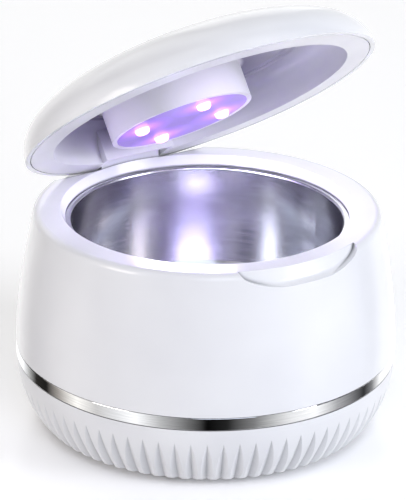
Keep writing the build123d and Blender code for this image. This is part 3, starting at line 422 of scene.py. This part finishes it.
def lamp_distance(tree, place):
    """Distance in metres to the nearest lamp, for pieces on the open lid."""
    nearest = None
    for spot in lamp_spots(0):
        away = add(tree, "ShaderNodeVectorMath", {"operation": "DISTANCE"}, {0: place})
        away.inputs[1].default_value = lid_matrix() @ spot
        reach = away.outputs["Value"]
        if nearest is None:
            nearest = reach
        else:
            nearest = add(
                tree, "ShaderNodeMath", {"operation": "MINIMUM"}, {0: nearest, 1: reach},
            ).outputs[0]
    return nearest


def hollow_shade_mask(tree, place):
    """0 on the lid's rim and on the lamp boss, 1 where the hollow round it is deepest: the mask of
    its painted shade.
    """
    up = lid_matrix().to_3x3() @ Vector((0, 0, 1))
    from_boss = add(tree, "ShaderNodeVectorMath", {"operation": "SUBTRACT"}, {0: place})
    from_boss.inputs[1].default_value = lid_matrix() @ (Vector((0, BOSS_Y, 0)) * MM)
    along = add(
        tree, "ShaderNodeVectorMath", {"operation": "DOT_PRODUCT"}, {0: from_boss.outputs[0]},
    )
    along.inputs[1].default_value = up
    across = add(
        tree, "ShaderNodeVectorMath", {"operation": "CROSS_PRODUCT"}, {0: from_boss.outputs[0]},
    )
    across.inputs[1].default_value = up
    radius = add(tree, "ShaderNodeVectorMath", {"operation": "LENGTH"}, {0: across.outputs[0]})
    deep = add(
        tree, "ShaderNodeMapRange",
        {"From Min": HOLLOW_SHALLOW * MM, "From Max": HOLLOW_DEEP * MM},
        {"Value": along.outputs["Value"]},
    )
    share = add(
        tree, "ShaderNodeMapRange", {"From Max": HOLLOW_REACH * MM},
        {"Value": radius.outputs["Value"]},
    )
    outside = add(
        tree, "ShaderNodeValToRGB", {"stops": HOLLOW_SHADE}, {"Fac": share.outputs["Result"]},
    )
    return add(
        tree, "ShaderNodeMath", {"operation": "MULTIPLY"},
        {0: deep.outputs[0], 1: outside.outputs["Color"]},
    ).outputs[0]


def painted_glow_abs(name, dark, light, strength, reach_mm, glow):
    """White ABS with a painted violet glow, strongest beside each lamp, standing in for the lamps'
    light that it scatters.
    """
    material, tree = start(name)
    place = add(tree, "ShaderNodeTexCoord").outputs["Object"]
    flow = add(
        tree, "ShaderNodeTexNoise", {"Scale": 1 / (20 * MM), "Detail": 2.0}, {"Vector": place},
    )
    face = add(
        tree, "ShaderNodeValToRGB",
        {"stops": ((NOISE_LOW, dark), (NOISE_HIGH, light))}, {"Fac": flow.outputs["Fac"]},
    )
    # painted shade: the hollow's depth is painted a darker lavender, standing in for shade and the
    # lamps' violet light bouncing about in it
    depth = hollow_shade_mask(tree, place)
    white = add(
        tree, "ShaderNodeMixRGB", {"Color2": linear(PAINTED_SHADE_LAVENDER)},
        {"Fac": depth, "Color1": face.outputs["Color"]},
    )
    reach = add(
        tree, "ShaderNodeMapRange",
        {"To Min": strength, "To Max": strength * DEEP_PAINTED_GLOW_SHARE}, {"Value": depth},
    )
    near = add(
        tree, "ShaderNodeMapRange",
        {"From Min": LAMP_RADIUS * MM, "From Max": reach_mm * MM, "To Min": 1.0, "To Max": 0.0},
        {"Value": lamp_distance(tree, place)},
    )
    # painted glow: pink-white at the lens, violet round it, nothing further out
    painted_glow_colour = add(tree, "ShaderNodeValToRGB", {"stops": glow}, {"Fac": near.outputs["Result"]})
    peel = add(
        tree, "ShaderNodeTexNoise", {"Scale": 1 / (PEEL_WIDTH * MM), "Detail": 1.0},
        {"Vector": place},
    )
    relief = add(
        tree, "ShaderNodeBump", {"Strength": 0.06, "Distance": PEEL_DEPTH * MM},
        {"Height": peel.outputs["Fac"]},
    )
    shader = add(
        tree, "ShaderNodeBsdfPrincipled", {"IOR": ABS_IOR, "Roughness": 0.3},
        {
            "Base Color": white.outputs["Color"],
            # the emission is a painted glow, not a lamp
            # the emission is a painted glow, not a lamp
            "Emission Color": painted_glow_colour.outputs["Color"],
            "Emission Strength": reach.outputs["Result"],
            "Normal": relief.outputs["Normal"],
        },
    )
    add(tree, "ShaderNodeOutputMaterial", {}, {"Surface": shader.outputs["BSDF"]})
    return material


def clear_epoxy(name):
    """Cast epoxy lens of a violet lamp, lit from inside."""
    material, tree = start(name)
    place = add(tree, "ShaderNodeTexCoord").outputs["Object"]
    # the cast lens has faint swirls of a millimetre or so
    swirl = add(
        tree, "ShaderNodeTexNoise", {"Scale": 1 / (1.2 * MM), "Detail": 2.0}, {"Vector": place},
    )
    colour = add(
        tree, "ShaderNodeValToRGB",
        {"stops": ((NOISE_LOW, "#e6b8ff"), (NOISE_HIGH, "#f6dcff"))}, {"Fac": swirl.outputs["Fac"]},
    )
    glow = add(
        tree, "ShaderNodeValToRGB",
        {"stops": ((NOISE_LOW, "#e9a2ff"), (NOISE_HIGH, "#ffd6ff"))}, {"Fac": swirl.outputs["Fac"]},
    )
    shader = add(
        tree, "ShaderNodeBsdfPrincipled",
        {"IOR": EPOXY_IOR, "Roughness": 0.08, "Transmission Weight": 0.5, "Emission Strength": 1.6},
        {"Base Color": colour.outputs["Color"], "Emission Color": glow.outputs["Color"]},
    )
    add(tree, "ShaderNodeOutputMaterial", {}, {"Surface": shader.outputs["BSDF"]})
    return material


def glowing_chip(name):
    """The lamp's lit die and cup: almost white with a violet cast."""
    material, tree = start(name)
    place = add(tree, "ShaderNodeTexCoord").outputs["Object"]
    patch = add(
        tree, "ShaderNodeTexNoise", {"Scale": 1 / (0.8 * MM), "Detail": 2.0}, {"Vector": place},
    )
    colour = add(
        tree, "ShaderNodeValToRGB",
        {"stops": ((NOISE_LOW, "#e9d0ff"), (NOISE_HIGH, "#ffffff"))}, {"Fac": patch.outputs["Fac"]},
    )
    glow = add(
        tree, "ShaderNodeValToRGB",
        {"stops": ((NOISE_LOW, "#e5a8ff"), (NOISE_HIGH, "#fff0ff"))}, {"Fac": patch.outputs["Fac"]},
    )
    shader = add(
        tree, "ShaderNodeBsdfPrincipled", {"Roughness": 0.3, "Emission Strength": 4.0},
        {"Base Color": colour.outputs["Color"], "Emission Color": glow.outputs["Color"]},
    )
    add(tree, "ShaderNodeOutputMaterial", {}, {"Surface": shader.outputs["BSDF"]})
    return material


materials = {
    "housing": glossy_abs("glossy_white_abs", "#e9eaee", "#f2f3f6", 0.16, 0.22),
    "base": satin_abs("satin_white_abs", "#e6e7eb", "#f0f1f4", 0.34, 0.44),
    "lid": glossy_abs("glossy_white_lid_abs", "#ebecf0", "#f4f5f8", 0.16, 0.22),
    "liner": painted_glow_abs("pearl_white_liner_abs", "#e8e8ec", "#f1f1f4", 0.6, 30.0, HOLLOW_PAINTED_GLOW),
    # the cover's violet base colour is painted lamp light on white ABS
    "cover": painted_glow_abs("lamp_cover_abs", "#a68ccc", "#b29ad6", 0.5, 12.0, COVER_PAINTED_GLOW),
    "chrome": turned_metal("chromed_band", "#e4e5e8", "#f4f5f7", 0.04, 0.09, 0.3),
    "tank": turned_metal("polished_stainless_tank", "#c8c8cd", "#d6d7db", 0.15, 0.21, 0.35),
    "button": glossy_abs("button_abs", "#dfe0e4", "#e8e9ec", 0.18, 0.26),
    "screw": plain_metal("zinc_plated_screw_steel", "#9fa1a6", "#c2c4c8", 0.28, 0.42),
    "pin": plain_metal("ground_pin_steel", "#b4b6ba", "#d2d4d8", 0.14, 0.24),
    "magnet": plain_metal("nickel_plated_magnet", "#bcb9b2", "#d8d5cd", 0.18, 0.3),
    "sink": plain_metal("extruded_aluminium", "#b9bcc0", "#d5d8dc", 0.35, 0.5),
    "copper": plain_metal("enamelled_copper_winding", "#8a3f1c", "#b8622e", 0.25, 0.4),
    "feet": rubber("grey_foot_rubber", "#3a3b3f", "#4a4b50"),
    "seal": rubber("clear_silicone_seal", "#c9cace", "#dadbdf"),
    "leads": rubber("red_lead_silicone", "#7c1518", "#9c2226"),
    "inner": satin_abs("grey_inner_abs", "#b4b5b9", "#c4c5c9", 0.4, 0.55),
    "black": satin_abs("black_moulding", "#0e0f11", "#1b1c1f", 0.35, 0.5),
    "washer": satin_abs("natural_nylon", "#cfcdc2", "#dcdace", 0.4, 0.55),
    "sleeve": satin_abs("capacitor_sleeve_film", "#15203a", "#1f2c4a", 0.25, 0.35),
    "board": hard_board("green_circuit_board", "#0f3f24", "#175532"),
    "lamp_board": hard_board("white_lamp_board", "#d4d6da", "#e4e6ea"),
    "piezo": fired_ceramic("silvered_piezo_ceramic", "#b0aca2", "#cdc9bf", 0.4),
    "ferrite": fired_ceramic("ferrite_core", "#1c1a1a", "#2c2929", 0.5),
    "lamp": clear_epoxy("violet_lamp_epoxy"),
    "chip": glowing_chip("lit_lamp_chip"),
}

finishes = {
    "upper_housing": "housing", "hinge_block": "housing", "base_shell": "base",
    "lid_shell": "lid", "lid_liner": "liner", "lamp_cover": "cover", "trim_band": "chrome",
    "tank": "tank", "power_button": "button", "hinge_pin": "pin", "lid_magnet": "magnet",
    "heat_sink": "sink", "rubber_feet": "feet", "tank_seal": "seal", "piezo_leads": "leads",
    "jack_leads": "leads", "clamp_ring": "inner", "lead_sockets": "inner", "dc_jack": "black",
    "power_transistor": "black", "button_switch": "black", "switch_stem": "black",
    "friction_washers": "washer", "capacitors": "sleeve", "driver_board": "board",
    "button_board": "board", "lid_sensor": "board", "lamp_board": "lamp_board",
    "piezo_disc": "piezo", "transformer": "ferrite", "choke": "copper", "uv_lamps": "lamp",
    "base_screws": "screw", "clamp_screws": "screw", "board_screws": "screw",
    "button_screws": "screw", "hinge_screws": "screw", "liner_screws": "screw",
}
for node, choice in finishes.items():
    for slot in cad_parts[node].material_slots:
        slot.material = materials[choice]


# New pieces

def piece(name, mesh, body, material):
    """Makes an object of this mesh, smooth shaded, and lets it ride on a body."""
    bmesh.ops.recalc_face_normals(mesh, faces=mesh.faces)
    data = bpy.data.meshes.new(name)
    mesh.to_mesh(data)
    mesh.free()
    data.materials.append(materials[material])
    data.set_sharp_from_angle(angle=math.radians(SHARP_ANGLE))
    made = bpy.data.objects.new(name, data)
    bpy.context.collection.objects.link(made)
    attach(made, body)


def lamp_chips():
    """A stamped cup with a lit chip in each lamp."""
    mesh = bmesh.new()
    cup_radius = 1.3 * MM
    cup_height = 0.9 * MM
    cup_wall = 0.25 * MM
    cup_depth = 0.45 * MM
    chip_size = 0.7 * MM
    chip_drop = 0.1 * MM
    above_rim_plane = 1.2
    for spot in lamp_spots(above_rim_plane):
        place = lid_matrix() @ Matrix.Translation(spot)
        cup = bmesh.ops.create_cone(
            mesh, cap_ends=True, segments=24, radius1=cup_radius, radius2=cup_radius * 0.7,
            depth=cup_height, matrix=place,
        )
        mouth = min(
            {face for vert in cup["verts"] for face in vert.link_faces if len(face.verts) > 4},
            key=lambda face: (place.inverted() @ face.calc_center_median()).z,
        )
        bmesh.ops.inset_individual(mesh, faces=[mouth], thickness=cup_wall, depth=-cup_depth)
        lowered = place @ Matrix.Translation((0, 0, -chip_drop))
        bmesh.ops.create_cube(mesh, size=chip_size, matrix=lowered)
    piece("lamp_chips", mesh, "lid", "chip")


lamp_chips()


def jack_pin():
    """The inlet's turned centre contact, a round-nosed sleeve over its moulded core."""
    mesh = bmesh.new()
    axis_z = 13.6 * MM
    # radius and distance from the body's axis, in millimetres, from the root to the nose
    profile = [(1.09, 48.6), (1.09, 56.7), (0.9, 57.1), (0.5, 57.32), (0.0, 57.38)]
    ring = [mesh.verts.new((0, y * MM, axis_z + r * MM)) for r, y in profile]
    edges = [mesh.edges.new(pair) for pair in zip(ring, ring[1:])]
    bmesh.ops.spin(
        mesh, geom=ring + edges, cent=(0, 0, axis_z), axis=(0, 1, 0), angle=math.tau,
        steps=24, use_merge=True,
    )
    bmesh.ops.remove_doubles(mesh, verts=mesh.verts, dist=0.001 * MM)
    piece("jack_pin_sleeve", mesh, "housing", "pin")


jack_pin()


# Stage: floor, lights, surroundings and camera

def in_view(tree):
    """1 for what the camera sees, straight or through a lens, and 0 for light that scatters."""
    rays = add(tree, "ShaderNodeLightPath")
    return add(
        tree, "ShaderNodeMath", {"operation": "MAXIMUM"},
        {0: rays.outputs["Is Camera Ray"], 1: rays.outputs["Is Transmission Ray"]},
    ).outputs[0]


def floor_material():
    """White lacquered board: a soft shadow and a faint reflection of the object."""
    material, tree = start("white_floor_board")
    # the camera sees the board's white brighter than it scatters, so that it meets the white behind
    white = add(
        tree, "ShaderNodeMapRange", {"To Min": FLOOR_LIT, "To Max": FLOOR_SEEN},
        {"Value": in_view(tree)},
    )
    shader = add(
        tree, "ShaderNodeBsdfPrincipled", {"IOR": 1.45, "Roughness": 0.3},
        {"Base Color": white.outputs["Result"]},
    )
    add(tree, "ShaderNodeOutputMaterial", {}, {"Surface": shader.outputs["BSDF"]})
    return material


def floor():
    """The table. Polished metal doesn't mirror it, so that the trim band shows the cards."""
    mesh = bmesh.new()
    bmesh.ops.create_grid(mesh, x_segments=1, y_segments=1, size=FLOOR_REACH)
    data = bpy.data.meshes.new("floor")
    mesh.to_mesh(data)
    mesh.free()
    data.materials.append(floor_material())
    made = bpy.data.objects.new("floor", data)
    bpy.context.collection.objects.link(made)
    made.visible_glossy = False


floor()


def area_light(name, width, height, watts, code, place):
    """A soft rectangular light that shines down its own Z axis."""
    lamp = bpy.data.lights.new(name, "AREA")
    lamp.shape = "RECTANGLE"
    lamp.size = width
    lamp.size_y = height
    lamp.energy = watts
    lamp.color = linear(code)[:3]
    made = bpy.data.objects.new(name, lamp)
    bpy.context.collection.objects.link(made)
    made.matrix_world = place
    return made


def softbox(name, bearing, elevation, size, watts, code):
    """A studio light that looks at the object, at a bearing and an elevation in degrees."""
    across, up = math.radians(bearing), math.radians(elevation)
    toward = Vector((
        math.cos(across) * math.cos(up), math.sin(across) * math.cos(up), math.sin(up),
    ))
    turned = toward.to_track_quat("Z", "Y").to_matrix().to_4x4()
    stand = Vector((0, 0, SOFTBOX_AIM)) + SOFTBOX_DISTANCE * toward
    area_light(name, size, size * SOFTBOX_ASPECT, watts, code, Matrix.Translation(stand) @ turned)


# bearing, elevation, width in metres, watts and colour
softbox("key_box", -58, 18, 0.5, 8.6, "#f6f8ff")
softbox("left_box", 180, 18, 0.45, 4.8, "#fff6f0")
softbox("back_box", 56, 18, 0.45, 0.6, "#ffffff")
softbox("high_front_box", -112, 36, 0.7, 3.7, "#e6edff")
softbox("high_back_box", 96, 44, 0.8, 1.8, "#ffffff")


def lamps_light(name, spread, watts, code):
    """Part of what the four lamps throw down, as one soft light that swings with the lid."""
    below_rim_plane = 2.0
    width = 30 * MM
    under_boss = lid_matrix() @ Matrix.Translation(Vector((0, BOSS_Y, -below_rim_plane)) * MM)
    made = area_light(name, width, width, watts, code, under_boss)
    made.data.spread = math.radians(spread)
    made.visible_camera = False
    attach(made, "lid")


# spread in degrees, watts and colour
lamps_light("lamps_haze", 180, 0.055, "#eae6ff")
lamps_light("lamps_beam", 95, 0.11, "#9050ff")


def surroundings():
    """White walls, which polished metal mirrors with dark cards standing before them."""
    world = bpy.data.worlds.new("studio")
    bpy.context.scene.world = world
    world.use_nodes = True
    tree = world.node_tree
    tree.nodes.clear()
    around = add(tree, "ShaderNodeTexCoord").outputs["Generated"]
    axes = add(tree, "ShaderNodeSeparateXYZ", {}, {"Vector": around})
    bearing = add(
        tree, "ShaderNodeMath", {"operation": "ARCTAN2"},
        {0: axes.outputs["Y"], 1: axes.outputs["X"]},
    )
    turn = add(
        tree, "ShaderNodeMapRange",
        {"From Min": -math.pi, "From Max": math.pi}, {"Value": bearing.outputs[0]},
    )
    stops = [((degrees + 180) / 360, code) for degrees, code in STUDIO]
    cards = add(tree, "ShaderNodeValToRGB", {"stops": stops}, {"Fac": turn.outputs["Result"]})
    mirrored = add(
        tree, "ShaderNodeBackground", {"Strength": CARD_STRENGTH},
        {"Color": cards.outputs["Color"]},
    )
    rays = add(tree, "ShaderNodeLightPath")
    level = add(
        tree, "ShaderNodeMapRange", {"To Min": WALL_LIT, "To Max": WALL_SEEN},
        {"Value": in_view(tree)},
    )
    plain = add(
        tree, "ShaderNodeBackground", {"Color": linear("#ffffff")},
        {"Strength": level.outputs["Result"]},
    )
    either = add(
        tree, "ShaderNodeMixShader", {},
        {
            0: rays.outputs["Is Glossy Ray"],
            1: plain.outputs["Background"],
            2: mirrored.outputs["Background"],
        },
    )
    add(tree, "ShaderNodeOutputWorld", {}, {"Surface": either.outputs["Shader"]})


surroundings()


def make_camera():
    """The photograph's viewpoint, as azimuth, elevation and roll about the object's middle."""
    turn, rise, roll = (math.radians(a) for a in (CAMERA_AZIMUTH, CAMERA_ELEVATION, CAMERA_ROLL))
    back = Vector((
        math.sin(turn) * math.cos(rise), -math.cos(turn) * math.cos(rise), math.sin(rise),
    ))
    level_right = Vector((math.cos(turn), math.sin(turn), 0))
    level_up = back.cross(level_right)
    right = level_right * math.cos(roll) + level_up * math.sin(roll)
    up = level_up * math.cos(roll) - level_right * math.sin(roll)
    target = (level_right * CAMERA_SIDE + Vector((0, 0, CAMERA_HEIGHT))) * MM
    data = bpy.data.cameras.new("camera")
    data.sensor_width = SENSOR
    data.lens = CAMERA_FOCUS * SENSOR / PICTURE_HEIGHT
    data.clip_start = 0.05
    made = bpy.data.objects.new("camera", data)
    bpy.context.collection.objects.link(made)
    axes = Matrix((right, up, back)).transposed()
    made.matrix_world = Matrix.Translation(target + back * CAMERA_DISTANCE * MM) @ axes.to_4x4()
    bpy.context.scene.camera = made


make_camera()
bpy.context.scene.view_settings.view_transform = "Standard"
